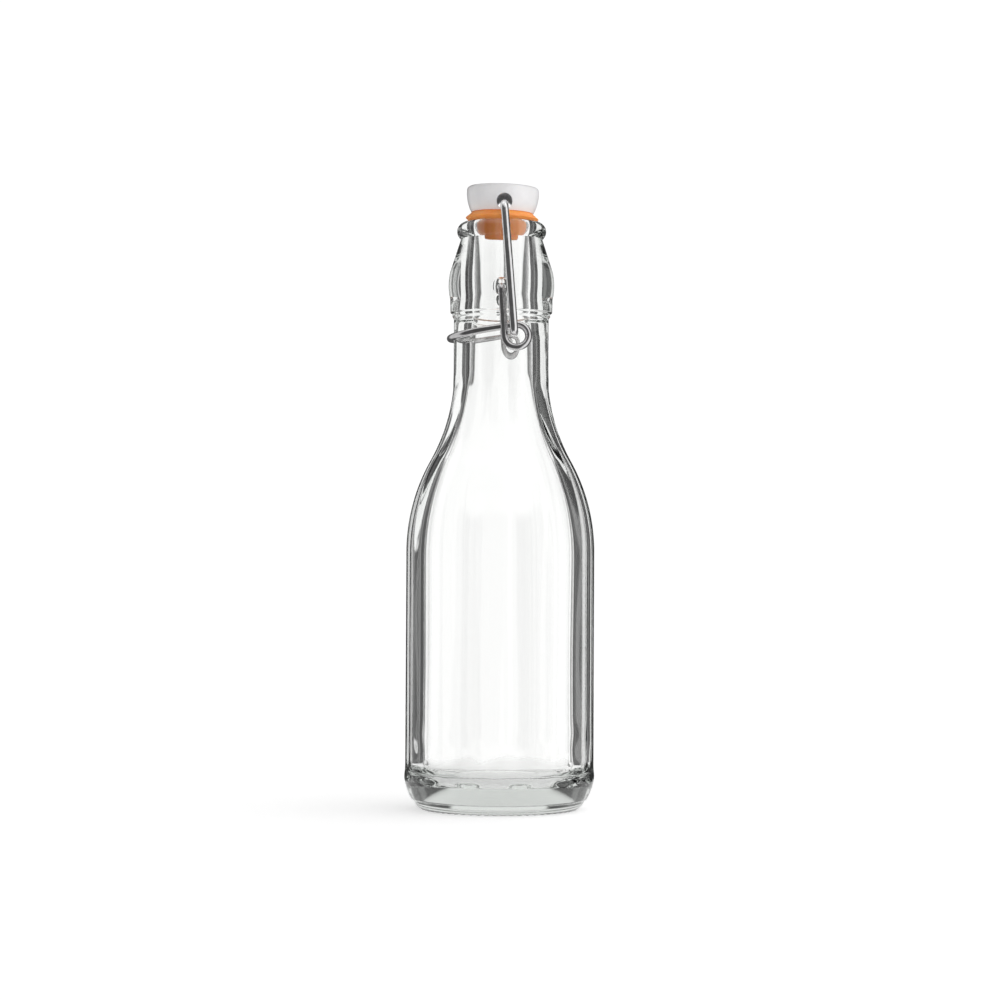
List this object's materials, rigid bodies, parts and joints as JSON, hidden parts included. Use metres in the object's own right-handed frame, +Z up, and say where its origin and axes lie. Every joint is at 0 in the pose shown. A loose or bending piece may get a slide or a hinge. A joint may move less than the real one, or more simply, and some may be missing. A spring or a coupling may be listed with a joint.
{
  "type": "swing-top bottle",
  "caption": "Clear faceted glass bottle with a swing-top closure: a white stopper with an orange rubber gasket, held down by a wire bail and lever.",
  "frame": {"origin": "middle of the ring that the bottle stands on", "axes": "+Z up the bottle's axis to the stopper, Y along the pivots of the closure, -X to the lever's thumb bow"},
  "size_m": [0.0596, 0.0596, 0.1956],
  "materials": {
    "clear_glass": "clear, polished, faint green in thick places",
    "white_glaze": "satin white",
    "orange_rubber": "smooth matte",
    "bail_steel": "bright drawn wire",
    "lever_steel": "bright drawn wire"
  },
  "bodies": {
    "bottle": {"bottle": "clear_glass"},
    "lever": {"lever": "lever_steel"},
    "bail": {"bail": "bail_steel"},
    "stopper": {"stopper": "white_glaze", "gasket": "orange_rubber"}
  },
  "joints": [
    {"name": "lever_pivot", "type": "hinge", "parent": "bottle", "child": "lever", "pos_m": [0, 0, 0.1625], "axis": [0, 1, 0], "range_deg": [0, 88]},
    {"name": "bail_swing", "type": "hinge", "parent": "lever", "child": "bail", "pos_m": [0.004, 0, 0.14814], "axis": [0, 1, 0], "range_deg": [-62.6, 0]},
    {"name": "stopper_tilt", "type": "hinge", "parent": "bail", "child": "stopper", "pos_m": [0.0008, 0, 0.18865], "axis": [0, 1, 0], "range_deg": [-27.4, 0], "deforming": ["gasket"]}
  ],
  "couplings": [
    {"joint": "bail_swing", "follows": "lever_pivot", "ratio": -0.7},
    {"joint": "stopper_tilt", "follows": "lever_pivot", "ratio": -0.3}
  ]
}
